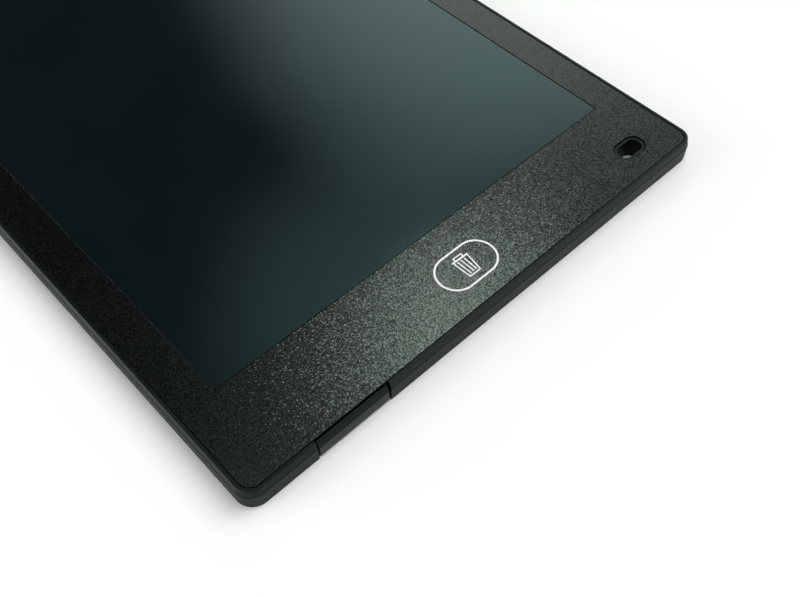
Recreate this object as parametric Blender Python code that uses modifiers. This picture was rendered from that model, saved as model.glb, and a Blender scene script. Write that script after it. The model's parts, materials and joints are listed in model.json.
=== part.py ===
"""LCD writing tablet, face up, with a battery drawer and an erase key.

The origin is under the middle of the back. +X runs to the right across the face, +Y from
the key end to the top end and +Z out of the writing face. Lengths are in metres.
"""

import math

import bmesh
import bpy
from mathutils import Matrix, Vector
from mathutils.geometry import interpolate_bezier

# Clearances and steps that every piece shares
gap = 0.0003
seat = 0.0001
overrun = 0.001
weld = 0.000001
corner_steps = 8
edge_steps = 3
round_steps = 24

# Outline of the front housing and of the rear cover's band
housing_width = 0.168
housing_length = 0.253
housing_corner = 0.0045
rim_width = 0.0009
rim_outer_round = 0.00055
rim_inner_round = 0.0002
band_outset = 0.0006
band_top_round = 0.0006
band_bottom_round = 0.0011

# Layers over the coin cell, which set the thickness of the tablet
rear_floor = 0.0013
tray_floor = 0.0008
cell_height = 0.0025
contact_sheet = 0.0002
contact_bow = 0.0003
panel_thickness = 0.0012
panel_drop = 0.0001
tray_bottom = rear_floor + gap
pocket_floor = tray_bottom + tray_floor
cell_bottom = pocket_floor + seat
cell_top = cell_bottom + cell_height
contact_tip = cell_top + seat
contact_arm = contact_tip + contact_bow
panel_bottom = contact_arm + contact_sheet + gap
panel_top = panel_bottom + panel_thickness
top = panel_top + panel_drop

# Outer faces and the parting line between the two shells
half_width = housing_width / 2
half_length = housing_length / 2
upper_wall = 0.00225
parting = top - upper_wall
band_top = parting - seat / 2
skirt_bottom = parting + seat / 2

# Ledge and deck of the front housing, which carry the panel on its adhesive
ledge_width = 0.006
ledge_thickness = 0.001
tape_thickness = 0.00015
tape_width = 0.003
tape_inset = 0.001
tape_bottom = panel_bottom - seat - tape_thickness
ledge_top = tape_bottom - seat
ledge_bottom = ledge_top - ledge_thickness
inner_face = rim_width + gap

# Window, by the bezels round it, and the display stack behind it
side_bezel = 0.01175
bottom_bezel = 0.0278
top_bezel = 0.0166
window_corner = 0.0006
window_half = half_width - side_bezel
window_bottom = bottom_bezel - half_length
window_top = half_length - top_bezel
film_drop = 0.00015
film_thickness = 0.0006
board_margin = 0.003
board_thickness = 0.0012
film_top = panel_top - film_drop
film_bottom = film_top - film_thickness
support_top = tape_bottom - seat
support_bottom = support_top - board_thickness
support_edge = window_bottom - board_margin
deck_end = support_edge - gap

# Lap joint: the ledge stands inside a lip on the shoulder of the rear cover's wall
cover_wall = 0.0026
lip_thickness = 0.00085
cavity_inset = cover_wall - band_outset
lip_inset = lip_thickness - band_outset
ledge_inset = lip_inset + gap
shoulder_top = ledge_bottom - gap

# Snap hooks of the front housing and their pockets in the rear cover
hook_width = 0.006
hook_arm = 0.0009
hook_barb = 0.0004
hook_barb_height = 0.0007
hook_end = rear_floor + 2 * gap
side_hook_shares = (-0.38, -0.13, 0.13, 0.38)
top_hook_shares = (-0.28, 0.28)
bottom_hook_shares = (0.02, 0.25)

# Ribs of the rear cover under the support board
rib_thickness = 0.001
rib_top = support_bottom - gap
rib_margin = 0.006
rib_contact_gap = 0.0037
rib_columns = 4
rib_rows = 6

# Battery drawer with its coin cell
cell_diameter = 0.020
cell_edge_round = 0.0004
cell_cap_inset = 0.0013
cell_crimp = 0.0004
pocket_wall = 0.0009
pocket_radius = cell_diameter / 2 + gap
tray_width = 2 * (pocket_radius + pocket_wall)
tray_wall = 0.0014
tray_wall_top = pocket_floor + tray_wall
tray_corner = 0.002
face_depth = 0.0024
face_drop = 0.0006
face_rim_relief = 0.0003
drawer_offset = 0.03215
drawer_x = drawer_offset - half_width
cell_y = face_depth + pocket_radius - half_length
tray_end = cell_y + pocket_radius + pocket_wall
contact_slot_width = 0.0054
contact_slot_depth = 0.003
detent_radius = 0.0012
detent_rise = 0.0002
pull_groove_radius = 0.0006
pull_groove_length = 0.012
mouth_left_gap = 0.0005
mouth_right_gap = 0.0008
bay_wall = 0.0012
bay_half = tray_width / 2 + gap

# Erase key and its travel
key_offset = 0.0128
key_y = key_offset - half_length
key_straight = 0.0077
key_radius = 0.00601
key_travel = 0.00025
key_flange = 0.0003
key_flange_reach = 0.0008
key_top_round = 0.0001
key_half_gap = gap / 2

# Circuit board, hung from the deck by two screws; the deck opens over it round the key
switch_size = 0.006
pcb_thickness = 0.001
pcb_width = 0.0168
pcb_corner = 0.001
pcb_left_clearance = 0.0005
screw_head_height = 0.0008
screw_head_radius = 0.0015
screw_shank_radius = 0.0008
screw_hole_radius = 0.0011
screw_boss_radius = 0.0021
screw_end_gap = 0.0002
screw_inset = 0.0026
screw_dome_share = 0.7
pcb_bottom = rear_floor + gap + screw_head_height + seat
pcb_top = pcb_bottom + pcb_thickness
pcb_left = drawer_x + bay_half + bay_wall + pcb_left_clearance
key_clear = key_radius + key_flange_reach + gap
pcb_right = key_straight / 2 + key_clear + screw_boss_radius + screw_inset
pcb_front = key_y - key_clear - pcb_corner
pcb_back = pcb_front + pcb_width
part_bottom = pcb_top + seat

# Tact switch under the key
switch_floor = 0.00015
switch_corner = 0.0004
switch_well_radius = 0.0021
switch_cover_sheet = 0.00015
switch_cover_tab = 0.0006
switch_cover_tab_width = 0.003
switch_hole_radius = 0.0012
stem_radius = 0.0009
foot_radius = 0.0017
foot_height = 0.0003
dome_radius = 0.0018
dome_rise = 0.00015
dome_sheet = 0.00006
dome_crown_share = 0.6
dome_shoulder_share = 0.75
stem_stand = key_travel + seat
switch_height = switch_floor + seat + dome_rise + seat + key_travel + foot_height
switch_top = part_bottom + switch_height
cover_bottom = switch_top + seat
cover_top = cover_bottom + switch_cover_sheet
stem_top = cover_top + stem_stand
foot_top = cover_bottom - seat

# Film tail: it leaves under the film, drops through the notches and ends on the board
tail_width = 0.008
tail_thickness = 0.00015
tail_overlap = 0.006
tail_bend = 0.003
tail_landing = 0.0025

# Contact strips, the lower one's pin, and its insulated lead
contact_width = 0.004
contact_foot = 0.003
contact_riser = 0.002
contact_anchor = tray_end + gap + bay_wall + contact_foot
contact_pin_radius = 0.0006
contact_pin_height = 0.0009
lead_radius = 0.0004
lead_inset = 0.0012

# Posts that back the board on each side of the switch
post_radius = 0.0015
post_reach = 0.005

# Parts soldered on the board: length, width and height, and places as shares of the board
chip_size = (0.0030, 0.0030, 0.0010)
small_part_size = (0.0016, 0.0008, 0.0007)
diode_size = (0.0026, 0.0014, 0.0009)
coil_radius = 0.0016
coil_height = 0.0010
coil_waist_share = 0.75
coil_flange_share = 0.25
chip_place_shares = (0.28, 0.62)
coil_place_shares = (0.42, 0.66)
small_part_shares = {"capacitor_1": (0.20, 0.36), "capacitor_2": (0.28, 0.36),
                     "capacitor_3": (0.86, 0.36), "resistor_1": (0.36, 0.36),
                     "resistor_2": (0.86, 0.54)}
diode_shares = {"diode_1": (0.44, 0.36), "diode_2": (0.84, 0.74)}

# Lanyard eyelet of the rear cover, standing through the deck and the panel
eyelet_side_offset = 0.0176
eyelet_end_offset = 0.0103
eyelet_x = half_width - eyelet_side_offset
eyelet_y = eyelet_end_offset - half_length
eyelet_straight = 0.0041
eyelet_radius = 0.0035
eyelet_wall = 0.0008
eyelet_drop = 0.0005
eyelet_round = 0.0003


def arc(centre, radius, start, end, steps=corner_steps):
    """Points along a circular arc, angles in degrees."""
    angles = [math.radians(start + (end - start) * i / steps) for i in range(steps + 1)]
    return [(centre[0] + radius * math.cos(a), centre[1] + radius * math.sin(a)) for a in angles]


def rounded_rectangle(left, right, low, high, radius):
    """Closed outline of a rectangle with round corners."""
    points = arc((right - radius, high - radius), radius, 0, 90)
    points += arc((left + radius, high - radius), radius, 90, 180)
    points += arc((left + radius, low + radius), radius, 180, 270)
    points += arc((right - radius, low + radius), radius, 270, 360)
    return points


def inset_outline(inset):
    """The front housing's outline moved inwards, or outwards where inset is negative."""
    x = half_width - inset
    y = half_length - inset
    return rounded_rectangle(-x, x, -y, y, max(housing_corner - inset, rim_width))


def stadium(x, y, straight, radius):
    """Closed outline of a slot with round ends, long along X."""
    points = arc((x + straight / 2, y), radius, -90, 90, 2 * corner_steps)
    points += arc((x - straight / 2, y), radius, 90, 270, 2 * corner_steps)
    return points


def rectangle(left, right, low, high):
    """Closed outline of a rectangle with square corners."""
    return [(left, low), (right, low), (right, high), (left, high)]


def finish_mesh(bm, mesh):
    """Weld a bmesh, point its faces outwards and shade it by angle."""
    bmesh.ops.remove_doubles(bm, verts=bm.verts, dist=weld)
    bmesh.ops.recalc_face_normals(bm, faces=bm.faces)
    bm.to_mesh(mesh)
    bm.free()
    mesh.shade_smooth()
    mesh.set_sharp_from_angle(angle=math.radians(35))


def add_object(name, mesh, collection):
    """Put a mesh into the scene as a named object."""
    obj = bpy.data.objects.new(name, mesh)
    collection.objects.link(obj)
    return obj


def prism(name, outlines, low, high, collection, turn=None):
    """Extrude flat outlines from low to high; inner outlines become holes."""
    curve = bpy.data.curves.new(name, "CURVE")
    curve.dimensions = "2D"
    curve.fill_mode = "BOTH"
    curve.extrude = (high - low) / 2
    for outline in outlines:
        spline = curve.splines.new("POLY")
        spline.points.add(len(outline) - 1)
        for point, (x, y) in zip(spline.points, outline):
            point.co = (x, y, 0, 1)
        spline.use_cyclic_u = True
    flat = bpy.data.objects.new(name, curve)
    bpy.context.scene.collection.objects.link(flat)
    flat.location.z = (low + high) / 2
    bpy.context.view_layer.update()
    evaluated = flat.evaluated_get(bpy.context.evaluated_depsgraph_get())
    mesh = bpy.data.meshes.new_from_object(evaluated)
    mesh.transform(flat.matrix_world)
    if turn:
        mesh.transform(turn)
    bpy.data.objects.remove(flat)
    bpy.data.curves.remove(curve)
    mesh.name = name
    bm = bmesh.new()
    bm.from_mesh(mesh)
    finish_mesh(bm, mesh)
    return add_object(name, mesh, collection)


# Turn that lays an outline of (y, z) points on the YZ plane and extrudes it along X
along_x = Matrix(((0, 0, 1, 0), (1, 0, 0, 0), (0, 1, 0, 0), (0, 0, 0, 1)))


def round_edges(obj, height, radius, keep=None):
    """Round the outline edges of a prism at one height; keep chooses among them."""
    mesh = obj.data
    bm = bmesh.new()
    bm.from_mesh(mesh)
    edges = []
    for edge in bm.edges:
        level = all(abs(v.co.z - height) < weld for v in edge.verts)
        if not level or len(edge.link_faces) != 2:
            continue
        sharp = edge.calc_face_angle() > math.radians(60)
        middle = (edge.verts[0].co + edge.verts[1].co) / 2
        if sharp and (keep is None or keep(middle)):
            edges.append(edge)
    bmesh.ops.bevel(bm, geom=edges, offset=radius, segments=edge_steps, affect="EDGES",
                    profile=0.5, clamp_overlap=True, material=-1)
    finish_mesh(bm, mesh)


def turned(name, profile, place, collection):
    """Turn a profile of (radius, height) points about Z, from its top to its bottom."""
    mesh = bpy.data.meshes.new(name)
    bm = bmesh.new()
    verts = [bm.verts.new((radius, 0, height)) for radius, height in profile]
    for first, second in zip(verts, verts[1:]):
        bm.edges.new((first, second))
    bm.to_mesh(mesh)
    bm.free()
    obj = add_object(name, mesh, collection)
    obj.location = place
    screw = obj.modifiers.new("turn", "SCREW")
    screw.steps = round_steps
    screw.render_steps = round_steps
    screw.use_merge_vertices = True
    screw.merge_threshold = weld
    screw.use_smooth_shade = True
    return obj


def cylinder(name, x, y, radius, low, high, collection):
    """An upright cylinder."""
    mesh = bpy.data.meshes.new(name)
    bm = bmesh.new()
    middle = Matrix.Translation((x, y, (low + high) / 2))
    bmesh.ops.create_cone(bm, cap_ends=True, segments=round_steps, radius1=radius,
                          radius2=radius, depth=high - low, matrix=middle)
    finish_mesh(bm, mesh)
    return add_object(name, mesh, collection)


def add_box(bm, left, right, front, back, low, high):
    """Add an upright box between six faces to a bmesh."""
    size = Matrix.Diagonal((right - left, back - front, high - low, 1))
    middle = Matrix.Translation(((left + right) / 2, (front + back) / 2, (low + high) / 2))
    bmesh.ops.create_cube(bm, size=1, matrix=middle @ size)


def box(name, left, right, front, back, low, high, collection):
    """An upright box as an object."""
    mesh = bpy.data.meshes.new(name)
    bm = bmesh.new()
    add_box(bm, left, right, front, back, low, high)
    finish_mesh(bm, mesh)
    return add_object(name, mesh, collection)


def ribbon(name, path, left, right, thickness, collection):
    """A bent strip of sheet: a path of (y, z) points swept along X and thickened."""
    mesh = bpy.data.meshes.new(name)
    bm = bmesh.new()
    verts = [bm.verts.new((left, y, z)) for y, z in path]
    edges = [bm.edges.new(pair) for pair in zip(verts, verts[1:])]
    swept = bmesh.ops.extrude_edge_only(bm, edges=edges)["geom"]
    moved = [v for v in swept if isinstance(v, bmesh.types.BMVert)]
    bmesh.ops.translate(bm, verts=moved, vec=(right - left, 0, 0))
    bmesh.ops.recalc_face_normals(bm, faces=bm.faces)
    bm.to_mesh(mesh)
    bm.free()
    mesh.shade_smooth()
    obj = add_object(name, mesh, collection)
    sheet = obj.modifiers.new("sheet", "SOLIDIFY")
    sheet.thickness = thickness
    sheet.offset = 0
    sheet.use_even_offset = True
    return obj


def boolean(obj, tool, operation):
    """Join or cut an object with another, which is kept as a hidden wire shape."""
    tool.hide_render = True
    tool.display_type = "WIRE"
    step = obj.modifiers.new(tool.name, "BOOLEAN")
    step.operation = operation
    step.solver = "EXACT"
    step.object = tool


def cut(obj, tool):
    boolean(obj, tool, "DIFFERENCE")


def join(obj, tool):
    boolean(obj, tool, "UNION")


def set_origin(obj, point):
    """Move an object's origin without moving its shape."""
    shift = Vector(point)
    obj.data.transform(Matrix.Translation(obj.location - shift))
    obj.location = shift


def paint(obj, colour, roughness, metallic=0.0):
    """Give an object a material of its own."""
    material = bpy.data.materials.new(obj.name)
    material.use_nodes = True
    shader = material.node_tree.nodes["Principled BSDF"]
    shader.inputs["Base Color"].default_value = (*colour, 1)
    shader.inputs["Roughness"].default_value = roughness
    shader.inputs["Metallic"].default_value = metallic
    obj.data.materials.append(material)
    material.diffuse_color = (*colour, 1)


def on_outer_side(point):
    """Whether a point of the rim lies nearer the outer face than the panel."""
    x = max(abs(point.x) - half_width + housing_corner, 0)
    y = max(abs(point.y) - half_length + housing_corner, 0)
    return math.hypot(x, y) > housing_corner - rim_width / 2


def hook_places():
    """Where the snap hooks are: outer side's turn and its place on the inner face."""
    x = half_width - cavity_inset
    y = half_length - cavity_inset
    places = []
    for share in side_hook_shares:
        places.append((90, (x, share * housing_length)))
        places.append((-90, (-x, share * housing_length)))
    for share in top_hook_shares:
        places.append((180, (share * housing_width, y)))
    for share in bottom_hook_shares:
        places.append((0, (share * housing_width, -y)))
    return places


def place_on_side(obj, turn, spot):
    """Turn a shape made for the bottom side to another side and move it there."""
    move = Matrix.Translation((spot[0], spot[1], 0))
    obj.data.transform(move @ Matrix.Rotation(math.radians(turn), 4, "Z"))


def make_front_housing(parts, tools):
    """Frame with the visible rim, the ledge and deck under the panel, hooks and bosses."""
    housing = prism("front_housing", [inset_outline(0), inset_outline(rim_width)],
                    skirt_bottom, top, parts)
    round_edges(housing, top, rim_outer_round, on_outer_side)
    round_edges(housing, top, rim_inner_round, lambda point: not on_outer_side(point))
    opening_x = half_width - ledge_width
    opening = rounded_rectangle(-opening_x, opening_x, deck_end, half_length - ledge_width,
                                housing_corner)
    join(housing, prism("housing_ledge", [inset_outline(ledge_inset), opening],
                        ledge_bottom, ledge_top, tools))
    mouth_left = drawer_x - tray_width / 2 - mouth_left_gap
    mouth_right = drawer_x + tray_width / 2 + mouth_right_gap
    cut(housing, box("housing_mouth", mouth_left, mouth_right, -half_length - overrun,
                     deck_end + overrun, skirt_bottom - overrun, top + overrun, tools))
    for number, (turn, spot) in enumerate(hook_places(), 1):
        low = hook_end + hook_barb_height
        profile = [(gap, ledge_bottom + ledge_thickness / 2), (gap, low), (-hook_barb, low),
                   (-hook_barb, low - hook_barb_height / 2), (gap, hook_end),
                   (gap + hook_arm, hook_end), (gap + hook_arm, ledge_bottom + ledge_thickness / 2)]
        hook = prism(f"housing_hook_{number}", [profile], -hook_width / 2, hook_width / 2, tools, along_x)
        place_on_side(hook, turn, spot)
        join(housing, hook)
    for number, (x, y) in enumerate(screw_places(), 1):
        join(housing, cylinder(f"housing_boss_{number}", x, y, screw_boss_radius,
                               pcb_top + seat, ledge_bottom + ledge_thickness / 2, tools))
    cut(housing, prism("housing_board_opening", [board_opening()], ledge_bottom - overrun,
                       ledge_top + overrun, tools))
    reach = contact_width / 2 + gap
    cut(housing, box("housing_contact_opening", mouth_right - overrun, board_opening()[0][0],
                     cell_y - reach, cell_y + reach, ledge_bottom - overrun,
                     ledge_top + overrun, tools))
    for number, (x, y) in enumerate(screw_places(), 1):
        cut(housing, cylinder(f"housing_screw_hole_{number}", x, y, screw_shank_radius + seat,
                              pcb_top - overrun, screw_end() + screw_end_gap, tools))
    cut(housing, prism("housing_eyelet_hole",
                       [stadium(eyelet_x, eyelet_y, eyelet_straight, eyelet_radius)],
                       ledge_bottom - overrun, ledge_top + overrun, tools))
    paint(housing, (0.021, 0.024, 0.022), 0.42)


def screw_places():
    """The board's two screws: front left and back right."""
    return [(pcb_left + screw_inset, pcb_front + screw_inset),
            (pcb_right - screw_inset, pcb_back - screw_inset)]


def screw_end():
    """Height of the screws' points, inside the deck."""
    return ledge_top - screw_end_gap - seat


def board_opening():
    """Opening of the deck over the board, clear of the bosses, for the key and the parts."""
    left = pcb_left + screw_inset + screw_boss_radius
    right = pcb_right - screw_inset - screw_boss_radius
    return rounded_rectangle(left, right, pcb_front + pcb_corner, pcb_back - pcb_corner, pcb_corner)


def make_front_panel(parts):
    """Textured face with the window, the key's place and the eyelet's hole."""
    window = rounded_rectangle(-window_half, window_half, window_bottom, window_top,
                               window_corner)
    key_hole = stadium(0, key_y, key_straight, key_radius + key_half_gap)
    eyelet_hole = stadium(eyelet_x, eyelet_y, eyelet_straight, eyelet_radius)
    panel = prism("front_panel", [inset_outline(inner_face), window, key_hole, eyelet_hole],
                  panel_bottom, panel_top, parts)
    round_edges(panel, panel_top, rim_inner_round / 2)
    paint(panel, (0.075, 0.082, 0.078), 0.5)
    tape_x = half_width - inner_face - tape_inset
    tape_y = half_length - inner_face - tape_inset
    outer = rounded_rectangle(-tape_x, tape_x, -tape_y, tape_y, tape_width)
    inner = rounded_rectangle(tape_width - tape_x, tape_x - tape_width, tape_width - tape_y,
                              tape_y - tape_width, tape_inset)
    tape = prism("panel_tape", [outer, inner], tape_bottom, tape_bottom + tape_thickness, parts)
    paint(tape, (0.6, 0.58, 0.5), 0.6)


def make_erase_key(parts, tools):
    """Key patch of the face with a flange under the panel and a nub over the switch."""
    key = prism("erase_key", [stadium(0, key_y, key_straight, key_radius - key_half_gap)],
                panel_bottom - seat - key_flange / 2, panel_top, parts)
    round_edges(key, panel_top, key_top_round)
    flange_top = panel_bottom - seat
    join(key, prism("key_flange", [stadium(0, key_y, key_straight, key_radius + key_flange_reach)],
                    flange_top - key_flange, flange_top, tools))
    join(key, cylinder("key_nub", 0, key_y, foot_radius, stem_top + seat,
                       flange_top - key_flange / 2, tools))
    set_origin(key, (0, key_y, panel_top))
    paint(key, (0.075, 0.082, 0.078), 0.5)


def make_display(parts, tools):
    """Writing film flush in the window, its black backing, the support board and tail."""
    half = window_half - gap
    sheet = rounded_rectangle(-half, half, window_bottom + gap, window_top - gap, window_corner)
    film = prism("writing_film", [sheet], film_bottom, film_top, parts)
    round_edges(film, film_top, film_drop / 2)
    paint(film, (0.01, 0.014, 0.015), 0.12)
    tail_half = tail_width / 2 + gap
    backing = prism("black_backing", [sheet], support_top + seat, film_bottom - seat, parts)
    cut(backing, box("backing_notch", -tail_half, tail_half, window_bottom - overrun,
                     window_bottom + tail_overlap + gap, support_top - overrun,
                     film_bottom + overrun, tools))
    paint(backing, (0.004, 0.004, 0.004), 0.9)
    half_board = window_half + board_margin
    outline = rounded_rectangle(-half_board, half_board, support_edge, window_top + board_margin,
                                board_margin)
    support = prism("support_board", [outline], support_bottom, support_top, parts)
    cut(support, box("support_notch", -tail_half, tail_half, support_edge - overrun,
                     window_bottom + tail_bend + gap, support_bottom - overrun,
                     support_top + overrun, tools))
    paint(support, (0.5, 0.5, 0.48), 0.6)
    frame_outer = rounded_rectangle(seat - half_board, half_board - seat, support_edge + seat,
                                    window_top + board_margin - seat, board_margin)
    frame_inner = rounded_rectangle(-window_half - gap, window_half + gap,
                                    window_bottom - gap, window_top + gap, window_corner)
    tape = prism("film_tape", [frame_outer, frame_inner], tape_bottom,
                 tape_bottom + tape_thickness, parts)
    paint(tape, (0.6, 0.58, 0.5), 0.6)
    make_film_tail(parts)


def make_film_tail(parts):
    """Flexible tail from the back of the film down to its pads on the circuit board."""
    upper = film_bottom - seat - tail_thickness / 2
    lower = part_bottom + tail_thickness / 2
    turn = tail_bend / 2
    drop_y = window_bottom + tail_bend - turn
    path = [(window_bottom + tail_overlap, upper)]
    path += arc((drop_y + turn - gap, upper - turn), turn, 90, 180, edge_steps)
    path += arc((drop_y - gap - turn, lower + turn / 2), turn, 0, -90, edge_steps)[1:]
    path = [(y, max(z, lower)) for y, z in path]
    path.append((pcb_back - tail_landing, lower))
    tail = ribbon("film_tail", path, -tail_width / 2, tail_width / 2, tail_thickness, parts)
    paint(tail, (0.45, 0.22, 0.05), 0.4)


def make_rear_cover(parts, tools):
    """Rear shell: floor, outset band with its lip, ribs, battery bay, posts and eyelet."""
    cover = prism("rear_cover", [inset_outline(-band_outset)], 0, band_top, parts)
    round_edges(cover, 0, band_bottom_round)
    round_edges(cover, band_top, band_top_round)
    cut(cover, prism("cover_rebate", [inset_outline(lip_inset)], shoulder_top,
                     band_top + overrun, tools))
    cut(cover, prism("cover_cavity", [inset_outline(cavity_inset)], rear_floor,
                     shoulder_top + overrun, tools))
    for ribs in make_ribs(tools):
        join(cover, ribs)
    bay_x = bay_half + bay_wall
    bay_end = tray_end + gap
    front = cavity_inset / 2 - half_length
    walls = [(drawer_x - bay_x, front), (drawer_x + bay_x, front),
             (drawer_x + bay_x, bay_end + bay_wall), (drawer_x - bay_x, bay_end + bay_wall)]
    join(cover, prism("cover_bay_block", [walls], rear_floor / 2, rib_top, tools))
    cut(cover, box("cover_bay", drawer_x - bay_half, drawer_x + bay_half,
                   -half_length - band_outset - overrun, bay_end, rear_floor,
                   top + overrun, tools))
    cut(cover, box("cover_mouth", drawer_x - tray_width / 2 - mouth_left_gap,
                   drawer_x + tray_width / 2 + mouth_right_gap,
                   -half_length - band_outset - overrun, face_depth + gap - half_length,
                   -overrun, top + overrun, tools))
    slot = contact_slot_width / 2
    cut(cover, box("cover_contact_slot", drawer_x - slot, drawer_x + slot, tray_end - overrun,
                   bay_end + bay_wall + overrun, rear_floor, rib_top + overrun, tools))
    join(cover, cylinder("cover_contact_pin", drawer_x, contact_anchor, contact_pin_radius,
                         rear_floor / 2, rear_floor + contact_pin_height, tools))
    for number, (x, y) in enumerate(post_places(), 1):
        join(cover, cylinder(f"cover_post_{number}", x, y, post_radius, rear_floor / 2,
                             pcb_bottom - gap, tools))
    outer_radius = eyelet_radius - gap
    boss = prism("cover_eyelet", [stadium(eyelet_x, eyelet_y, eyelet_straight, outer_radius)],
                 rear_floor / 2, top - eyelet_drop, tools)
    round_edges(boss, top - eyelet_drop, eyelet_round)
    join(cover, boss)
    cut(cover, prism("cover_eyelet_slot",
                     [stadium(eyelet_x, eyelet_y, eyelet_straight, outer_radius - eyelet_wall)],
                     -overrun, top + overrun, tools))
    for number, (turn, spot) in enumerate(hook_places(), 1):
        half = hook_width / 2 + gap
        pocket = box(f"cover_pocket_{number}", -half, half, -hook_barb - gap, overrun,
                     hook_end, hook_end + hook_barb_height + gap, tools)
        place_on_side(pocket, turn, spot)
        cut(cover, pocket)
    paint(cover, (0.03, 0.034, 0.031), 0.45)


def post_places():
    """A post on each side of the switch."""
    return [(-post_reach, key_y), (post_reach, key_y)]


def make_ribs(tools):
    """Ribs that back the support board: columns along Y and rows across them."""
    right = window_half - rib_margin
    low = contact_anchor + contact_foot / 2 + rib_contact_gap
    high = window_top - rib_margin
    half = rib_thickness / 2
    columns = bmesh.new()
    for column in range(rib_columns + 1):
        x = right * (2 * column / rib_columns - 1)
        add_box(columns, x - half, x + half, low, high, rear_floor / 2, rib_top)
    rows = bmesh.new()
    for row in range(rib_rows + 1):
        y = low + (high - low) * row / rib_rows
        add_box(rows, -right, right, y - half, y + half, rear_floor / 2, rib_top)
    ribs = []
    for name, bm in (("cover_columns", columns), ("cover_rows", rows)):
        mesh = bpy.data.meshes.new(name)
        finish_mesh(bm, mesh)
        ribs.append(add_object(name, mesh, tools))
    return ribs


def drawer_face_profile():
    """Section of the drawer's face in (y, z): the side wall's shape, then the block."""
    out = -half_length
    band = out - band_outset
    face_top = top - face_drop
    rim_back = out + rim_width - face_rim_relief
    block_top = tape_bottom - seat
    points = arc((band + band_bottom_round, band_bottom_round), band_bottom_round, 270, 180, edge_steps)
    points += arc((band + band_top_round, band_top - band_top_round), band_top_round, 180, 90, edge_steps)
    points.append((out, band_top + seat / 2))
    points += arc((out + rim_outer_round, face_top - rim_outer_round), rim_outer_round, 180, 90,
                  edge_steps)
    points += [(rim_back, face_top), (rim_back, block_top), (out + face_depth, block_top),
               (out + face_depth, 0)]
    return points


def make_battery_drawer(parts, tools):
    """Drawer: face block with the side wall's section and a round pocket behind it."""
    half = tray_width / 2
    drawer = prism("battery_drawer", [drawer_face_profile()], drawer_x - half, drawer_x + half,
                   parts, along_x)
    front = face_depth / 2 - half_length
    tray = rounded_rectangle(drawer_x - half, drawer_x + half, front, tray_end, tray_corner)
    join(drawer, prism("drawer_tray", [tray], tray_bottom, tray_wall_top, tools))
    for side in (-1, 1):
        x = drawer_x + side * (half + detent_rise - detent_radius)
        join(drawer, cylinder(f"drawer_detent_{side + 2}", x, cell_y, detent_radius,
                              tray_bottom + gap, tray_wall_top - gap, tools))
    cut(drawer, cylinder("drawer_pocket", drawer_x, cell_y, pocket_radius, pocket_floor,
                         top + overrun, tools))
    slot = contact_slot_width / 2
    cut(drawer, box("drawer_contact_slot", drawer_x - slot, drawer_x + slot,
                    cell_y - contact_slot_depth, tray_end + overrun, tray_bottom - overrun,
                    tray_wall_top + overrun, tools))
    groove_y = (face_depth - band_outset) / 2 - half_length
    groove = cylinder("drawer_pull_groove", 0, 0, pull_groove_radius, -pull_groove_length / 2,
                      pull_groove_length / 2, tools)
    lying = Matrix.Rotation(math.radians(90), 4, "Y")
    groove.data.transform(Matrix.Translation((drawer_x, groove_y, 0)) @ lying)
    cut(drawer, groove)
    set_origin(drawer, (drawer_x, cell_y, 0))
    paint(drawer, (0.024, 0.027, 0.025), 0.42)
    return drawer


def make_coin_cell(parts, drawer):
    """Coin cell in the pocket, wide pole up, stepped cap with the crimp down."""
    radius = cell_diameter / 2
    rise = cell_height - cell_edge_round
    profile = [(0, cell_height), (radius - cell_edge_round, cell_height), (radius, rise),
               (radius, cell_crimp + cell_edge_round), (radius - cell_crimp, cell_crimp),
               (radius - cell_cap_inset + cell_crimp, cell_crimp / 2),
               (radius - cell_cap_inset, cell_crimp / 2), (radius - cell_cap_inset - cell_crimp, 0),
               (0, 0)]
    cell = turned("coin_cell", profile, (drawer_x, cell_y, cell_bottom), parts)
    paint(cell, (0.62, 0.62, 0.61), 0.25, 1.0)
    cell.parent = drawer
    cell.matrix_parent_inverse = Matrix.Translation(-drawer.location)


def make_contacts(parts, tools):
    """Spring strips over and under the cell, and the lower one's lead to the board."""
    upper = contact_arm + contact_sheet / 2
    foot = part_bottom + contact_sheet / 2
    tip = contact_tip + contact_sheet / 2
    riser = pcb_left + contact_foot / 2
    path = [(pcb_left + contact_foot, foot), (riser, foot), (riser - contact_riser, upper),
            (drawer_x + contact_riser, upper), (drawer_x, tip), (drawer_x - contact_riser, upper)]
    half = contact_width / 2
    positive = ribbon("positive_contact", path, -half, half, contact_sheet, parts)
    positive.data.transform(Matrix.Rotation(math.radians(-90), 4, "Z"))
    positive.data.transform(Matrix.Translation((0, cell_y, 0)))
    paint(positive, (0.7, 0.68, 0.62), 0.3, 1.0)
    low = rear_floor + seat + contact_sheet / 2
    touch = cell_bottom - seat - contact_sheet / 2
    path = [(contact_anchor + contact_foot / 2, low), (tray_end - contact_riser, low),
            (cell_y + contact_riser, touch), (cell_y, touch), (cell_y - contact_riser / 2, low + seat)]
    negative = ribbon("negative_contact", path, drawer_x - half, drawer_x + half, contact_sheet, parts)
    cut(negative, cylinder("contact_pin_hole", drawer_x, contact_anchor, contact_pin_radius + seat,
                           0, rear_floor + contact_pin_height, tools))
    paint(negative, (0.7, 0.68, 0.62), 0.3, 1.0)


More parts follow.
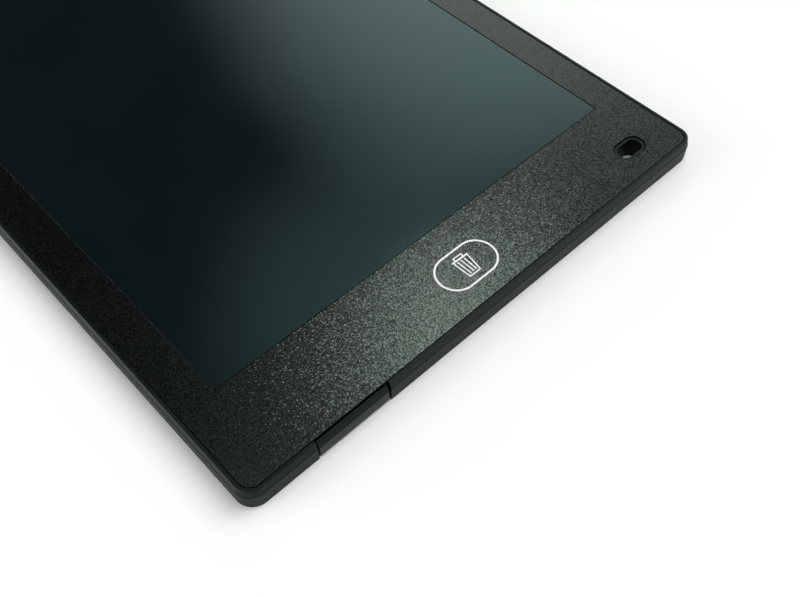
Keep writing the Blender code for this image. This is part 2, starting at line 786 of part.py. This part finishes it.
def make_lead(parts):
    """Insulated lead from the lower contact's foot along the floor to the board."""
    start = Vector((drawer_x + contact_width / 2 + gap + lead_radius,
                    contact_anchor + contact_foot / 4, rear_floor + gap + lead_radius))
    end = Vector((pcb_left + screw_inset, pcb_back - lead_inset, pcb_bottom - seat - lead_radius))
    curve = bpy.data.curves.new("negative_lead", "CURVE")
    curve.dimensions = "3D"
    curve.bevel_depth = lead_radius
    curve.bevel_resolution = 2
    curve.use_fill_caps = True
    corner = Vector((end.x, start.y, start.z))
    route = interpolate_bezier(start, start.lerp(corner, 2 / 3), end.lerp(corner, 2 / 3), end,
                               2 * corner_steps)
    spline = curve.splines.new("POLY")
    spline.points.add(len(route) - 1)
    for point, place in zip(spline.points, route):
        point.co = (*place, 1)
    lead = bpy.data.objects.new("negative_lead", curve)
    parts.objects.link(lead)
    paint(lead, (0.02, 0.02, 0.02), 0.5)


def make_circuit_board(parts, tools):
    """Board with its parts; both screws come from below."""
    outline = rounded_rectangle(pcb_left, pcb_right, pcb_front, pcb_back, pcb_corner)
    board = prism("circuit_board", [outline], pcb_bottom, pcb_top, parts)
    for number, (x, y) in enumerate(screw_places(), 1):
        cut(board, cylinder(f"board_hole_{number}", x, y, screw_hole_radius,
                            pcb_bottom - overrun, pcb_top + overrun, tools))
        head = -screw_head_height
        length = screw_end() - pcb_bottom + seat
        profile = [(0, length), (screw_shank_radius / 2, length),
                   (screw_shank_radius, length - screw_shank_radius), (screw_shank_radius, 0),
                   (screw_head_radius, 0), (screw_head_radius, head / 2),
                   (screw_head_radius * screw_dome_share, head), (0, head)]
        screw = turned(f"board_screw_{number}", profile, (x, y, pcb_bottom - seat), parts)
        paint(screw, (0.45, 0.45, 0.46), 0.35, 1.0)
    paint(board, (0.02, 0.16, 0.05), 0.45)
    make_board_parts(parts)


def board_spot(shares):
    """A place on the board from its shares of the length and the width."""
    return pcb_left + shares[0] * (pcb_right - pcb_left), pcb_front + shares[1] * pcb_width


def solder(name, shares, size, parts, colour):
    """A block part on the board."""
    x, y = board_spot(shares)
    length, width, height = size
    block = box(name, x - length / 2, x + length / 2, y - width / 2, y + width / 2,
                part_bottom, part_bottom + height, parts)
    edge = block.modifiers.new("edge", "BEVEL")
    edge.width = seat
    edge.segments = 1
    paint(block, colour, 0.5)


def make_board_parts(parts):
    """Driver chip, boost coil, capacitors, resistors and diodes."""
    solder("driver_chip", chip_place_shares, chip_size, parts, (0.02, 0.02, 0.02))
    for name, shares in small_part_shares.items():
        tint = (0.45, 0.33, 0.2) if name.startswith("capacitor") else (0.03, 0.03, 0.03)
        solder(name, shares, small_part_size, parts, tint)
    for name, shares in diode_shares.items():
        solder(name, shares, diode_size, parts, (0.03, 0.03, 0.03))
    x, y = board_spot(coil_place_shares)
    waist = coil_radius * coil_waist_share
    flange = coil_height * coil_flange_share
    profile = [(0, coil_height), (coil_radius, coil_height), (coil_radius, coil_height - flange),
               (waist, coil_height - flange), (waist, flange), (coil_radius, flange),
               (coil_radius, 0), (0, 0)]
    coil = turned("boost_coil", profile, (x, y, part_bottom), parts)
    paint(coil, (0.1, 0.09, 0.08), 0.6)


def make_switch(parts, tools):
    """Tact switch: base with a well, snap dome, stem with a foot, and sheet cover."""
    half = switch_size / 2
    outline = rounded_rectangle(-half, half, key_y - half, key_y + half, switch_corner)
    base = prism("switch_base", [outline], part_bottom, switch_top, parts)
    cut(base, cylinder("switch_well", 0, key_y, switch_well_radius, part_bottom + switch_floor,
                       switch_top + overrun, tools))
    paint(base, (0.02, 0.02, 0.02), 0.5)
    low = part_bottom + switch_floor + seat
    crown = dome_radius * dome_crown_share
    shoulder = dome_rise * dome_shoulder_share
    profile = [(0, dome_rise), (crown, shoulder), (dome_radius, dome_sheet), (dome_radius, 0),
               (crown, shoulder - dome_sheet), (0, dome_rise - dome_sheet)]
    dome = turned("switch_dome", profile, (0, key_y, low), parts)
    paint(dome, (0.7, 0.68, 0.62), 0.3, 1.0)
    stem = foot_top - foot_height
    profile = [(0, stem_top - stem), (stem_radius, stem_top - stem), (stem_radius, foot_height),
               (foot_radius, foot_height), (foot_radius, 0), (0, 0)]
    plunger = turned("switch_plunger", profile, (0, key_y, stem), parts)
    paint(plunger, (0.02, 0.02, 0.02), 0.5)
    hole = arc((0, key_y), switch_hole_radius, 0, 360, round_steps)[:-1]
    cover = prism("switch_cover", [outline, hole], cover_bottom, cover_top, parts)
    for side in (-1, 1):
        near = half + seat
        edges = sorted((side * near, side * (near + switch_cover_sheet)))
        tab = switch_cover_tab_width / 2
        join(cover, box(f"switch_tab_{side + 2}", edges[0], edges[1], key_y - tab, key_y + tab,
                        switch_top - switch_cover_tab, cover_top, tools))
        bridge = sorted((side * half / 2, side * (near + switch_cover_sheet / 2)))
        join(cover, box(f"switch_bridge_{side + 2}", bridge[0], bridge[1], key_y - tab, key_y + tab,
                        cover_bottom, cover_top, tools))
    paint(cover, (0.6, 0.6, 0.6), 0.3, 1.0)


def main():
    for obj in list(bpy.data.objects):
        bpy.data.objects.remove(obj)
    parts = bpy.data.collections.new("lcd_writing_tablet")
    tools = bpy.data.collections.new("cutters")
    bpy.context.scene.collection.children.link(parts)
    bpy.context.scene.collection.children.link(tools)
    make_rear_cover(parts, tools)
    make_front_housing(parts, tools)
    make_front_panel(parts)
    make_erase_key(parts, tools)
    make_display(parts, tools)
    drawer = make_battery_drawer(parts, tools)
    make_coin_cell(parts, drawer)
    make_contacts(parts, tools)
    make_lead(parts)
    make_circuit_board(parts, tools)
    make_switch(parts, tools)


main()
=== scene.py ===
"""LCD writing tablet, face up on a white table in soft studio light."""

import json
import math

import bmesh
import bpy
from mathutils import Matrix, Vector

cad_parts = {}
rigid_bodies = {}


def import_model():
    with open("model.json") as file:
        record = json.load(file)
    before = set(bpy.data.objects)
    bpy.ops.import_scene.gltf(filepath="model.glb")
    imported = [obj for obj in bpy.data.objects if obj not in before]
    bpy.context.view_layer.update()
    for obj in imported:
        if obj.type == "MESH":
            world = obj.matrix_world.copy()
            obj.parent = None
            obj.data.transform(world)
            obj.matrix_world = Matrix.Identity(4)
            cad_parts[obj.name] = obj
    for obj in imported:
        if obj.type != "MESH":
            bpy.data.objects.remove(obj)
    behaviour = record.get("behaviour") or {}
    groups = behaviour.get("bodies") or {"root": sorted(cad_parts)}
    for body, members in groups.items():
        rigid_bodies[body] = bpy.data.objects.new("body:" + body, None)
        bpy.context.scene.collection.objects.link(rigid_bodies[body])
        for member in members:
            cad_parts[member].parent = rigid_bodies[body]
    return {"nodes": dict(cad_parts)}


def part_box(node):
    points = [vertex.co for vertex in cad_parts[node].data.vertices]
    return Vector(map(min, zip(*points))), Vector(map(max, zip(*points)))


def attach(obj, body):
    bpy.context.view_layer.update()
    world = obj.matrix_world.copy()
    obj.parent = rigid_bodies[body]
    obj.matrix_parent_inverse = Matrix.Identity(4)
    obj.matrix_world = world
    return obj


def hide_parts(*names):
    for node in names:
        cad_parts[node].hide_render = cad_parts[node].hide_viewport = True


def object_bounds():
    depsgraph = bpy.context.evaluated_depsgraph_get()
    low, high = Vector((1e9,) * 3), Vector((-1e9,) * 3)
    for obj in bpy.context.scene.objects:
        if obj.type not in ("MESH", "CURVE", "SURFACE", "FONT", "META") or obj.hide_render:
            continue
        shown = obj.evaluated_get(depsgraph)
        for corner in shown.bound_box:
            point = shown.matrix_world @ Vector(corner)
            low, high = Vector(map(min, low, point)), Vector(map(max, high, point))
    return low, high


for startup in list(bpy.data.objects):
    bpy.data.objects.remove(startup)
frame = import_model()
nodes = frame["nodes"]
cad_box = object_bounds()

# Camera, at the photograph's view
camera_place = (-0.11612, -0.21108, 0.20225)
camera_yaw = 43.29
camera_pitch = 54.45
camera_lens = 41.4
camera_clip = 0.01
sensor_width = 36.0

# Sky of the studio: a dim dome with a dark patch where the face and the screen mirror it, and
# the lights. Each patch has its turn from +Y towards +X, its height over the horizon, and the
# angles from its middle where it starts and stops to fade, in degrees. A light has its level
# after them.
dome_level = 0.12
dark_patch = (38.0, 50.0, 45.0, 70.0)
dark_level = 0.013
screen_box = ((50.6, 30.4, 0.0, 21.0), 1.96)
key_box = ((52.2, 58.1, 3.6, 7.8), 6.7)
glow_between = ((41.5, 55.9, 0.0, 12.8), 0.58)
left_light = ((-56.3, 11.9, 3.0, 28.5), 4.2)
left_shoulder_light = ((-20.0, 44.0, 0.0, 16.0), 1.2)
right_light = ((125.0, 67.7, 4.9, 10.9), 6.4)
overhead_light = ((-118.8, 86.1, 7.8, 30.9), 1.85)
far_right_light = ((99.1, 47.9, 0.0, 23.6), 5.2)
horizon_band = ((0.0, -90.0, 100.0, 112.0), 0.85)
lights = (screen_box, key_box, glow_between, left_light, left_shoulder_light, right_light,
          overhead_light, far_right_light, horizon_band)

# Table. It lies table_drop under the back of the tablet, and light gets through it on a way
# shorter than contact_reach, so that the back isn't black when it is seen from below.
table_half = 12.0
table_steps = 8
table_drop = 0.00002
contact_reach = 0.0001
table_roughness = 0.9
table_gloss = 0.1
table_cloud = 0.05
table_tones = ((0.905, 0.93, 0.90), (0.915, 0.94, 0.91))

# Fine noise that most finishes share, and where its signal starts and stops to count
noise_detail = 3.0
signal_low = 0.3
signal_high = 0.7

# Textured face
face_grain = 0.0003
face_relief = 0.00001
facet_size = 0.00026
facet_tilt = 0.19
facet_roughness = (0.07, 0.28)
face_tones = ((0.0006, 0.0010, 0.0007), (0.0030, 0.0042, 0.0034))
face_gloss = 0.44
face_glint = (0.82, 1.0, 0.87)

# Satin shells: colour, roughness and gloss of each, and how far they stray
upper_shell = ((0.0034, 0.0062, 0.0044), 0.36, 0.14)
lower_shell = ((0.0050, 0.0086, 0.0062), 0.44, 0.13)
shell_glint = (0.78, 1.0, 0.83)
shell_cloud = 0.012
shell_tone_reach = 0.15
roughness_below = 0.04
roughness_above = 0.05
shell_peel = 0.0006
peel_relief = 0.000012

# Screen film
film_gloss = 0.54
film_glint = (0.52, 1.0, 0.94)
film_tones = ((0.0031, 0.0066, 0.0073), (0.0040, 0.0079, 0.0088))
film_haze = 0.030
haze_detail = 4.0
haze_roughness = (0.085, 0.12)
film_wave = 0.004
wave_detail = 2.0
wave_relief = 0.000002

# White ink
ink_tones = ((0.66, 0.68, 0.67), (0.90, 0.90, 0.89))
ink_roughness = 0.55
ink_grain = 0.00022
ink_relief = 0.00002

# Pieces inside: how far colour and roughness stray
inside_tone_reach = 0.2
inside_roughness_reach = 0.15

# Meshes: corners that are one, faces that are flat, and the angle in degrees of a sharp edge
merge_distance = 0.000001
flat_angle = 0.5
sharp_angle = 32

# Outline of the housing, and its side wall: the wall leans out from the rim to the seam, where
# the band of the rear cover stands out by its small round shoulder
housing_half = (0.084, 0.1265)
housing_corner = 0.0045
band_outset = 0.0006
wall_weld = 0.00002
rim_foot = 0.00665
drawer_rim_foot = 0.00605
wall_foot = 0.00495
band_top = 0.0049
shoulder_round = 0.00008
wall_lean = band_outset - shoulder_round

# Printed ring and bin symbol on the key patch, as places from the key's middle. Its outline is
# read down to key_side under its top.
ink_height = 0.00002
under_ink = 0.000016
ink_sink = 0.00001
key_side = 0.0002
ring_reach = 0.00025
ring_width = 0.00058
ring_steps = 96
line_width = 0.00038
stroke_steps = 16
lid_outline = ((-0.00294, 0.00290), (-0.00225, 0.00304), (0.00270, 0.00282), (0.00326, 0.00272),
               (0.00266, 0.00238), (-0.00220, 0.00258))
body_outline = ((-0.00242, 0.00290), (-0.00208, -0.00361), (0.00203, -0.00362), (0.00302, 0.00266))
handle_outline = ((-0.00140, 0.00399), (-0.00156, 0.00260), (0.00186, 0.00248), (0.00179, 0.00389))
bar_ends = (((-0.00109, 0.00197), (-0.00097, -0.00277)), ((0.00011, 0.00214), (0.00015, -0.00268)),
            ((0.00126, 0.00191), (0.00113, -0.00263)))


def direction(turn, height):
    """Unit vector at a turn from +Y towards +X and a height over the horizon, in degrees."""
    a, e = math.radians(turn), math.radians(height)
    return (math.sin(a) * math.cos(e), math.cos(a) * math.cos(e), math.sin(e))


def make_camera():
    """Camera of the photograph."""
    data = bpy.data.cameras.new("camera")
    data.lens = camera_lens
    data.sensor_width = sensor_width
    data.clip_start = camera_clip
    camera = bpy.data.objects.new("camera", data)
    camera.location = camera_place
    camera.rotation_euler = (math.radians(90 - camera_pitch), 0, -math.radians(camera_yaw))
    bpy.context.scene.collection.objects.link(camera)
    bpy.context.scene.camera = camera


def sky_patch(tree, ray, patch):
    """How far a ray looks into a round patch of the sky, from 0 outside to 1 inside."""
    turn, height, inner, outer = patch
    facing = tree.nodes.new("ShaderNodeVectorMath")
    facing.operation = "DOT_PRODUCT"
    facing.inputs[1].default_value = direction(turn, height)
    tree.links.new(ray, facing.inputs[0])
    fade = tree.nodes.new("ShaderNodeMapRange")
    fade.interpolation_type = "SMOOTHSTEP"
    fade.inputs["From Min"].default_value = math.cos(math.radians(outer))
    fade.inputs["From Max"].default_value = math.cos(math.radians(inner))
    tree.links.new(facing.outputs["Value"], fade.inputs["Value"])
    return fade.outputs["Result"]


def add_light(tree, base, patch, level):
    """A patch of light of a level on top of the light that is there."""
    total = tree.nodes.new("ShaderNodeMath")
    total.operation = "MULTIPLY_ADD"
    total.inputs[1].default_value = level
    tree.links.new(patch, total.inputs[0])
    tree.links.new(base, total.inputs[2])
    return total.outputs[0]


def make_sky():
    """Studio sky whose patches give gloss its soft gradient."""
    world = bpy.data.worlds.new("studio_sky")
    bpy.context.scene.world = world
    world.use_nodes = True
    tree = world.node_tree
    ray = tree.nodes.new("ShaderNodeTexCoord").outputs["Generated"]
    dome = tree.nodes.new("ShaderNodeMapRange")
    dome.inputs["To Min"].default_value = dome_level
    dome.inputs["To Max"].default_value = dark_level
    tree.links.new(sky_patch(tree, ray, dark_patch), dome.inputs["Value"])
    level = dome.outputs["Result"]
    for patch, strength in lights:
        level = add_light(tree, level, sky_patch(tree, ray, patch), strength)
    tree.links.new(level, tree.nodes["Background"].inputs["Strength"])
    tree.nodes["Background"].inputs["Color"].default_value = (1, 1, 1, 1)


def shader_of(name, roughness=0.5, metallic=0.0, gloss=0.5, glint=(1, 1, 1)):
    """A new material and its shader; gloss and glint give its reflections their level and tint."""
    material = bpy.data.materials.new(name)
    material.use_nodes = True
    shader = material.node_tree.nodes["Principled BSDF"]
    shader.inputs["Roughness"].default_value = roughness
    shader.inputs["Metallic"].default_value = metallic
    shader.inputs["Specular IOR Level"].default_value = gloss
    shader.inputs["Specular Tint"].default_value = (*glint, 1)
    return material, shader


def grains(tree, size, detail=noise_detail):
    """Noise on the piece's own coordinates with grains of a size in metres."""
    place = tree.nodes.new("ShaderNodeTexCoord")
    noise = tree.nodes.new("ShaderNodeTexNoise")
    noise.inputs["Scale"].default_value = 1 / size
    noise.inputs["Detail"].default_value = detail
    tree.links.new(place.outputs["Object"], noise.inputs["Vector"])
    return noise.outputs["Fac"]


def spread(tree, source, low, high):
    """Bring a signal to a range."""
    ramp = tree.nodes.new("ShaderNodeMapRange")
    ramp.inputs["From Min"].default_value = signal_low
    ramp.inputs["From Max"].default_value = signal_high
    ramp.inputs["To Min"].default_value = low
    ramp.inputs["To Max"].default_value = high
    tree.links.new(source, ramp.inputs["Value"])
    return ramp.outputs["Result"]


def tint(tree, shader, source, tones):
    """Colour that wanders from a dark to a light tone with a signal."""
    mix = tree.nodes.new("ShaderNodeMix")
    mix.data_type = "RGBA"
    factor, dark, light = (mix.inputs[place] for place in (0, 6, 7))
    dark.default_value, light.default_value = ((*tone, 1) for tone in tones)
    tree.links.new(spread(tree, source, 0, 1), factor)
    tree.links.new(mix.outputs[2], shader.inputs["Base Color"])


def tones_of(colour, reach):
    """A darker and a lighter tone of a colour."""
    return tuple(tuple(min(1.0, (1 + way * reach) * part) for part in colour) for way in (-1, 1))


def wander(tree, shader, source, smooth, rough):
    """Roughness that wanders between two values with a signal."""
    tree.links.new(spread(tree, source, smooth, rough), shader.inputs["Roughness"])


def emboss(tree, shader, source, depth, base=None):
    """Bump of a depth in metres, on top of other normals if there are some."""
    bump = tree.nodes.new("ShaderNodeBump")
    bump.inputs["Distance"].default_value = depth
    tree.links.new(source, bump.inputs["Height"])
    if base:
        tree.links.new(base, bump.inputs["Normal"])
    tree.links.new(bump.outputs["Normal"], shader.inputs["Normal"])


def combine(tree, operation, *sources):
    """Vector node of an operation whose inputs are fed in turn by signals or fixed vectors."""
    node = tree.nodes.new("ShaderNodeVectorMath")
    node.operation = operation
    for place, source in enumerate(sources):
        if isinstance(source, tuple):
            node.inputs[place].default_value = source
        else:
            tree.links.new(source, node.inputs[place])
    return node


def facets(tree, shader):
    """Gloss and normals that change from grain to grain; most tip a little and a few a lot."""
    place = tree.nodes.new("ShaderNodeTexCoord")
    cells = tree.nodes.new("ShaderNodeTexVoronoi")
    cells.inputs["Scale"].default_value = 1 / facet_size
    tree.links.new(place.outputs["Object"], cells.inputs["Vector"])
    wander(tree, shader, cells.outputs["Color"], *facet_roughness)
    centred = combine(tree, "SUBTRACT", cells.outputs["Color"], (0.5, 0.5, 0.5))
    reach = combine(tree, "LENGTH", centred.outputs["Vector"])
    lean = combine(tree, "SCALE", centred.outputs["Vector"])
    tree.links.new(reach.outputs["Value"], lean.inputs["Scale"])
    straight = tree.nodes.new("ShaderNodeNewGeometry")
    tipped = combine(tree, "MULTIPLY_ADD", lean.outputs["Vector"], (facet_tilt,) * 3,
                     straight.outputs["Normal"])
    return combine(tree, "NORMALIZE", tipped.outputs["Vector"]).outputs["Vector"]


def textured_face():
    """Charcoal plastic with a fine spark eroded texture that glints."""
    material, shader = shader_of("textured_face", gloss=face_gloss, glint=face_glint)
    tree = material.node_tree
    fine = grains(tree, face_grain)
    tint(tree, shader, fine, face_tones)
    emboss(tree, shader, fine, face_relief, facets(tree, shader))
    return material


def satin_shell(name, colour, roughness, gloss):
    """Smooth moulded plastic with a faint orange peel."""
    material, shader = shader_of(name, gloss=gloss, glint=shell_glint)
    tree = material.node_tree
    cloud = grains(tree, shell_cloud)
    tint(tree, shader, cloud, tones_of(colour, shell_tone_reach))
    wander(tree, shader, cloud, roughness - roughness_below, roughness + roughness_above)
    emboss(tree, shader, grains(tree, shell_peel), peel_relief)
    return material


def screen_film():
    """Glossy hard coat over the dark teal liquid crystal film."""
    material, shader = shader_of("screen_film", gloss=film_gloss, glint=film_glint)
    tree = material.node_tree
    haze = grains(tree, film_haze, haze_detail)
    tint(tree, shader, haze, film_tones)
    wander(tree, shader, haze, *haze_roughness)
    emboss(tree, shader, grains(tree, film_wave, wave_detail), wave_relief)
    return material


def white_ink():
    """Printed white ink that follows the grain of the face."""
    material, shader = shader_of("white_ink", ink_roughness)
    tree = material.node_tree
    fine = grains(tree, ink_grain)
    tint(tree, shader, fine, ink_tones)
    emboss(tree, shader, fine, ink_relief)
    return material


def moulded(name, colour, roughness, size, relief, metallic=0.0, tone_reach=inside_tone_reach):
    """Plain material with grain in its colour, gloss and relief."""
    material, shader = shader_of(name, metallic=metallic)
    tree = material.node_tree
    signal = grains(tree, size)
    tint(tree, shader, signal, tones_of(colour, tone_reach))
    smooth, rough = (roughness * (1 + way * inside_roughness_reach) for way in (-1, 1))
    wander(tree, shader, signal, smooth, rough)
    emboss(tree, shader, signal, relief)
    return material


def dress(node, material):
    """Give a CAD node a finish."""
    mesh = nodes[node].data
    mesh.materials.clear()
    mesh.materials.append(material)


def finish_piece(name, bm, material, body):
    """Turn a bmesh into a smooth piece that rides on a body."""
    mesh = bpy.data.meshes.new(name)
    bm.to_mesh(mesh)
    bm.free()
    mesh.materials.append(material)
    mesh.shade_smooth()
    mesh.set_sharp_from_angle(angle=math.radians(sharp_angle))
    piece = bpy.data.objects.new(name, mesh)
    bpy.context.scene.collection.objects.link(piece)
    weighted = piece.modifiers.new("even shading", "WEIGHTED_NORMAL")
    weighted.keep_sharp = True
    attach(piece, body)
    return piece


def outward(place):
    """How far a place lies outside the housing's outline, and the way out of it."""
    away = Vector((0, 0, 0))
    for axis in (0, 1):
        core = housing_half[axis] - housing_corner
        away[axis] = place[axis] - max(-core, min(core, place[axis]))
    return away.length - housing_corner, away.normalized()


def lean_wall(bm, top):
    """Lean the outer wall out below a height, down to the seam."""
    for vert in bm.verts:
        beyond, way = outward(vert.co)
        if abs(beyond) < wall_weld and wall_foot - wall_weld < vert.co.z < top:
            vert.co += way * wall_lean * (top - vert.co.z) / (top - wall_foot)


def square_shoulder(bm):
    """Bring the shoulder of the band out to the foot of the wall above it."""
    start = band_top - band_outset
    for vert in bm.verts:
        beyond, way = outward(vert.co)
        if beyond > -wall_weld and start - wall_weld < vert.co.z < band_top + wall_weld:
            across = max(0.0, beyond) / band_outset
            up = (vert.co.z - start) / band_outset
            vert.co += way * (wall_lean + shoulder_round * across - beyond)
            vert.co.z = band_top - shoulder_round + shoulder_round * up


def refine(name, node, material, body, shoulder=False, lean_from=None):
    """A merged copy of a CAD node with smooth round corners, which stands for it."""
    bm = bmesh.new()
    bm.from_mesh(nodes[node].data)
    bmesh.ops.remove_doubles(bm, verts=bm.verts, dist=merge_distance)
    bmesh.ops.dissolve_limit(bm, angle_limit=math.radians(flat_angle), verts=bm.verts,
                             edges=bm.edges)
    for face in bm.faces:
        face.material_index = 0
    if shoulder:
        square_shoulder(bm)
    if lean_from:
        lean_wall(bm, lean_from)
    bm.normal_update()
    piece = finish_piece(name, bm, material, body)
    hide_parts(node)
    return piece


def slot_loop(bm, x, y, z, straight, radius):
    """Loop of edges round a slot with round ends."""
    half_step = Matrix.Rotation(math.pi / ring_steps, 4, "Z")
    made = bmesh.ops.create_circle(bm, segments=ring_steps, radius=radius,
                                   matrix=Matrix.Translation((x, y, z)) @ half_step)
    for vert in made["verts"]:
        vert.co.x += math.copysign(straight / 2, vert.co.x - x)
    return [e for e in bm.edges if e.verts[0] in made["verts"] and e.verts[1] in made["verts"]]


def raise_ink(bm, height):
    """Thicken flat ink by a height, upwards."""
    for face in bm.faces:
        if face.normal.z < 0:
            face.normal_flip()
    made = bmesh.ops.extrude_face_region(bm, geom=list(bm.faces), use_keep_orig=True)
    top = [v for v in made["geom"] if isinstance(v, bmesh.types.BMVert)]
    bmesh.ops.translate(bm, verts=top, vec=(0, 0, height))
    bmesh.ops.recalc_face_normals(bm, faces=bm.faces)


def stroke(bm, start, end, width, z):
    """Flat line with round ends between two points."""
    start, end = Vector((*start, z)), Vector((*end, z))
    along = end - start
    turn = Matrix.Rotation(math.atan2(along.y, along.x) + math.pi / 2 / stroke_steps, 4, "Z")
    made = bmesh.ops.create_circle(bm, cap_ends=True, segments=2 * stroke_steps, radius=width / 2,
                                   matrix=Matrix.Translation(start) @ turn)
    ahead = [v for v in made["verts"] if (v.co - start).dot(along) > 0]
    bmesh.ops.translate(bm, verts=ahead, vec=along)


def plate(bm, corners, z):
    """Flat face of a polygon."""
    face = bm.faces.new([bm.verts.new((*corner, z)) for corner in corners])
    face.normal_update()
    return face


def outline_stroke(bm, corners, width, z):
    """Flat line along the inside of a polygon."""
    face = plate(bm, corners, z)
    bmesh.ops.inset_individual(bm, faces=[face], thickness=width, use_even_offset=True)
    bmesh.ops.delete(bm, geom=[face], context="FACES")


def print_ink(name, bm, height, ink):
    """Raise flat ink from under the face and let it ride on the key."""
    raise_ink(bm, height + ink_sink)
    finish_piece(name, bm, ink, "key")


def make_ink(ink):
    """Ring over the seam of the key patch, and the bin symbol inside it."""
    low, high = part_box("erase_key")
    x, y, level = (low.x + high.x) / 2, (low.y + high.y) / 2, high.z - ink_sink
    patch = [v.co for v in nodes["erase_key"].data.vertices if v.co.z > high.z - key_side]
    radius = max(p.y for p in patch) - y
    straight = 2 * (max(p.x for p in patch) - x - radius)
    bm = bmesh.new()
    outer = slot_loop(bm, x, y, high.z + ink_sink, straight, radius + ring_reach)
    inner = slot_loop(bm, x, y, high.z + ink_sink, straight, radius + ring_reach - ring_width)
    bmesh.ops.bridge_loops(bm, edges=outer + inner)
    raise_ink(bm, ink_height)
    finish_piece("key_ring", bm, ink, "key")

    lid, body, handle = ([(x + a, y + b) for a, b in outline]
                         for outline in (lid_outline, body_outline, handle_outline))
    bm = bmesh.new()
    plate(bm, lid, level)
    print_ink("bin_lid", bm, ink_height, ink)
    bm = bmesh.new()
    outline_stroke(bm, body, line_width, level)
    for start, end in bar_ends:
        stroke(bm, (x + start[0], y + start[1]), (x + end[0], y + end[1]), line_width, level)
    print_ink("bin_body", bm, under_ink, ink)
    bm = bmesh.new()
    outline_stroke(bm, handle, line_width, level)
    print_ink("bin_handle", bm, under_ink, ink)


def make_table():
    """White table, seen through from below, where the light reaches the back that lies on it."""
    bm = bmesh.new()
    bmesh.ops.create_grid(bm, x_segments=table_steps, y_segments=table_steps, size=table_half,
                          matrix=Matrix.Translation((0, 0, cad_box[0].z - table_drop)))
    mesh = bpy.data.meshes.new("table")
    bm.to_mesh(mesh)
    bm.free()
    material, shader = shader_of("table_white", table_roughness, gloss=table_gloss)
    tree = material.node_tree
    tint(tree, shader, grains(tree, table_cloud), table_tones)
    clear = tree.nodes.new("ShaderNodeBsdfTransparent")
    side = tree.nodes.new("ShaderNodeNewGeometry")
    touching = tree.nodes.new("ShaderNodeMath")
    touching.operation = "LESS_THAN"
    touching.inputs[1].default_value = contact_reach
    tree.links.new(tree.nodes.new("ShaderNodeLightPath").outputs["Ray Length"], touching.inputs[0])
    through = tree.nodes.new("ShaderNodeMath")
    through.operation = "MAXIMUM"
    tree.links.new(side.outputs["Backfacing"], through.inputs[0])
    tree.links.new(touching.outputs[0], through.inputs[1])
    mix = tree.nodes.new("ShaderNodeMixShader")
    tree.links.new(through.outputs[0], mix.inputs["Fac"])
    tree.links.new(shader.outputs["BSDF"], mix.inputs[1])
    tree.links.new(clear.outputs["BSDF"], mix.inputs[2])
    tree.links.new(mix.outputs["Shader"], tree.nodes["Material Output"].inputs["Surface"])
    mesh.materials.append(material)
    table = bpy.data.objects.new("table", mesh)
    bpy.context.scene.collection.objects.link(table)


def make_inside():
    """Finishes of the pieces inside: colour, roughness, grain, relief, metallic, tone reach."""
    tape = moulded("adhesive_tape", (0.60, 0.58, 0.50), 0.6, 0.0008, 0.00001)
    strip = moulded("nickel_strip", (0.66, 0.64, 0.59), 0.28, 0.0004, 0.000004, 1.0, 0.08)
    black = moulded("black_moulding", (0.02, 0.02, 0.021), 0.45, 0.0002, 0.000006)
    fired = moulded("fired_ceramic", (0.45, 0.33, 0.20), 0.5, 0.0003, 0.000005)
    steel = moulded("plated_steel", (0.45, 0.45, 0.46), 0.33, 0.0002, 0.000004, 1.0, 0.1)
    tinned = moulded("tinned_sheet", (0.60, 0.60, 0.60), 0.3, 0.0003, 0.000003, 1.0, 0.08)
    matt = moulded("matt_black_sheet", (0.006, 0.006, 0.006), 0.9, 0.0005, 0.000004)
    board = moulded("grey_board", (0.50, 0.50, 0.48), 0.6, 0.003, 0.00001)
    amber = moulded("amber_film", (0.45, 0.22, 0.05), 0.3, 0.001, 0.000002)
    mask = moulded("solder_mask", (0.02, 0.16, 0.05), 0.3, 0.0015, 0.000003)
    lead = moulded("lead_insulation", (0.02, 0.02, 0.02), 0.5, 0.0006, 0.000004)
    ferrite = moulded("ferrite", (0.10, 0.09, 0.08), 0.65, 0.0002, 0.00001)
    cell = moulded("cell_nickel", (0.62, 0.62, 0.61), 0.24, 0.0006, 0.000003, 1.0, 0.05)
    groups = {
        tape: ("panel_tape", "film_tape"),
        strip: ("positive_contact", "negative_contact", "switch_dome"),
        black: ("switch_base", "driver_chip", "diode_1", "diode_2", "resistor_1", "resistor_2",
                "switch_plunger"),
        fired: ("capacitor_1", "capacitor_2", "capacitor_3"),
        steel: ("board_screw_1", "board_screw_2"),
        tinned: ("switch_cover",),
        matt: ("black_backing",),
        board: ("support_board",),
        amber: ("film_tail",),
        mask: ("circuit_board",),
        lead: ("negative_lead",),
        ferrite: ("boost_coil",),
        cell: ("coin_cell",),
    }
    for material, names in groups.items():
        for name in names:
            dress(name, material)


make_camera()
make_sky()
make_table()
face = textured_face()
upper = satin_shell("upper_shell", *upper_shell)
lower = satin_shell("lower_shell", *lower_shell)
refine("face_panel", "front_panel", face, "tablet")
refine("key_patch", "erase_key", face, "key")
refine("upper_frame", "front_housing", upper, "tablet", lean_from=rim_foot)
refine("lower_case", "rear_cover", lower, "tablet", shoulder=True)
refine("drawer_body", "battery_drawer", upper, "drawer", shoulder=True,
       lean_from=drawer_rim_foot)
refine("screen", "writing_film", screen_film(), "tablet")
make_ink(white_ink())
make_inside()

bpy.context.scene.view_settings.view_transform = "Standard"
